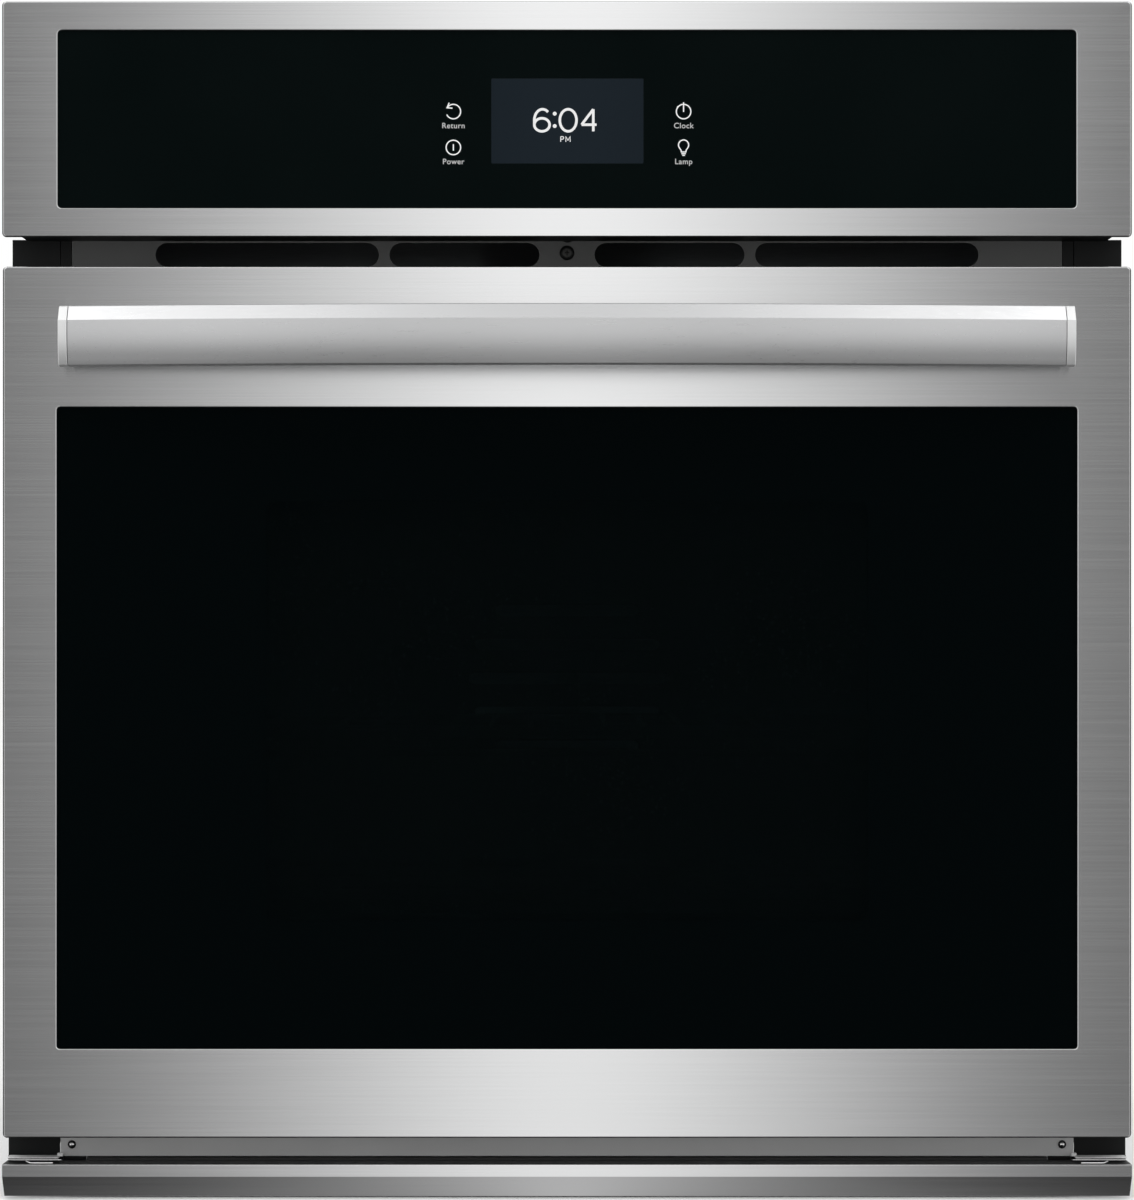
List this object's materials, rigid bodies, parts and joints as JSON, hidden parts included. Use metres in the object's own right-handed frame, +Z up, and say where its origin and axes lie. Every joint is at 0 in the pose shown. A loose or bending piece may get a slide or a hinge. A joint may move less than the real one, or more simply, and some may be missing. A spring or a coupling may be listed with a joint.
{
  "type": "wall oven",
  "caption": "Built-in single electric wall oven with a drop-down glazed door, bowed bar handle, touch control panel, slotted cooling vent, racks and convection fan.",
  "frame": {"origin": "centre of the bottom of the oven's whole box, on the plane that the chassis stands on", "axes": "+X to the right as one faces the door, +Y from the door towards the rear, +Z up"},
  "size_m": [0.6858, 0.675, 0.727],
  "materials": {
    "stainless": "brushed along the width",
    "black_steel": "satin black paint",
    "dark_grey_steel": "satin dark grey paint",
    "galvanised": "dull zinc spangle",
    "enamel": "gloss dark enamel with fine speckle",
    "black_glass": "black-backed tempered glass",
    "clear_glass": "clear heat-reflecting glass",
    "display": "dark display",
    "circuit_board": "solder mask",
    "dark_plastic": "moulded",
    "white_ceramic": "unglazed ceramic",
    "rack_wire": "bright plated wire",
    "heater": "dark oxidised sheath",
    "spring_steel": "plain zinc-plated steel",
    "gasket_braid": "braided glass fibre over wire",
    "mineral_wool": "matted mineral fibre"
  },
  "bodies": {
    "chassis": {"base_pan": "galvanised", "left_side_panel": "galvanised", "right_side_panel": "galvanised", "rear_panel": "galvanised", "top_panel": "galvanised", "component_tray": "galvanised", "oven_cavity": "enamel", "insulation_wrap": "mineral_wool", "left_mounting_flange": "black_steel", "right_mounting_flange": "black_steel", "lower_front_strip": "dark_grey_steel", "bottom_trim": "stainless", "vent_panel": "dark_grey_steel", "vent_screw": "spring_steel", "air_duct": "galvanised", "control_panel_frame": "stainless", "control_glass": "black_glass", "display_module": "display", "control_board": "circuit_board", "control_board_cover": "galvanised", "relay_board": "circuit_board", "junction_cover": "galvanised", "conduit_connector": "spring_steel", "blower_housing": "galvanised", "blower_motor": "dark_plastic", "convection_motor": "spring_steel", "convection_cover": "enamel", "convection_element": "heater", "broil_element": "heater", "bake_element": "heater", "temperature_sensor": "rack_wire", "lamp_lens": "clear_glass", "lamp_housing": "white_ceramic", "door_gasket": "gasket_braid", "latch_bracket": "galvanised", "door_switch": "dark_plastic", "left_hinge_receiver": "galvanised", "right_hinge_receiver": "galvanised", "left_hinge_arm": "spring_steel", "right_hinge_arm": "spring_steel"},
    "door": {"door_frame": "stainless", "door_outer_glass": "black_glass", "door_liner": "enamel", "door_inner_glass": "clear_glass", "door_middle_glass": "clear_glass", "window_pack_frame": "galvanised", "door_insulation": "mineral_wool", "handle_bar": "stainless", "left_handle_mount": "stainless", "right_handle_mount": "stainless", "left_hinge_body": "galvanised", "right_hinge_body": "galvanised", "left_hinge_spring": "spring_steel", "right_hinge_spring": "spring_steel"},
    "blower_wheel": {"blower_wheel": "galvanised"},
    "convection_fan": {"convection_fan": "galvanised"},
    "latch_hook": {"latch_hook": "spring_steel"},
    "door_switch_plunger": {"door_switch_plunger": "white_ceramic"},
    "upper_rack": {"upper_rack": "rack_wire"},
    "lower_rack": {"lower_rack": "rack_wire"}
  },
  "joints": [
    {"name": "door_hinge", "type": "hinge", "parent": "chassis", "child": "door", "pos_m": [0, -0.268, 0.0515], "axis": [1, 0, 0], "range_deg": [0, 90], "stiffness_Nm_per_rad": 12, "springref_deg": -17.19, "deforming": ["left_hinge_spring", "right_hinge_spring"]},
    {"name": "upper_rack_slide", "type": "slide", "parent": "chassis", "child": "upper_rack", "axis": [0, -1, 0], "range_m": [0, 0.24]},
    {"name": "lower_rack_slide", "type": "slide", "parent": "chassis", "child": "lower_rack", "axis": [0, -1, 0], "range_m": [0, 0.24]},
    {"name": "convection_fan_spin", "type": "hinge", "parent": "chassis", "child": "convection_fan", "pos_m": [0, 0.1995, 0.308], "axis": [0, -1, 0], "continuous": true},
    {"name": "blower_spin", "type": "hinge", "parent": "chassis", "child": "blower_wheel", "pos_m": [0, 0.1305, 0.5885], "axis": [0, 0, 1], "continuous": true},
    {"name": "latch_turn", "type": "hinge", "parent": "chassis", "child": "latch_hook", "pos_m": [-0.01, -0.2225, 0.5495], "axis": [0, 0, -1], "range_deg": [0, 80]},
    {"name": "door_switch_press", "type": "slide", "parent": "chassis", "child": "door_switch_plunger", "axis": [0, -1, 0], "range_m": [0, 0.0035]}
  ],
  "couplings": [
    {"joint": "upper_rack_slide", "follows": "door_hinge", "m_per_rad": 0.1527},
    {"joint": "lower_rack_slide", "follows": "door_hinge", "m_per_rad": 0.1527},
    {"joint": "door_switch_press", "follows": "door_hinge", "m_per_rad": 0.002226}
  ]
}
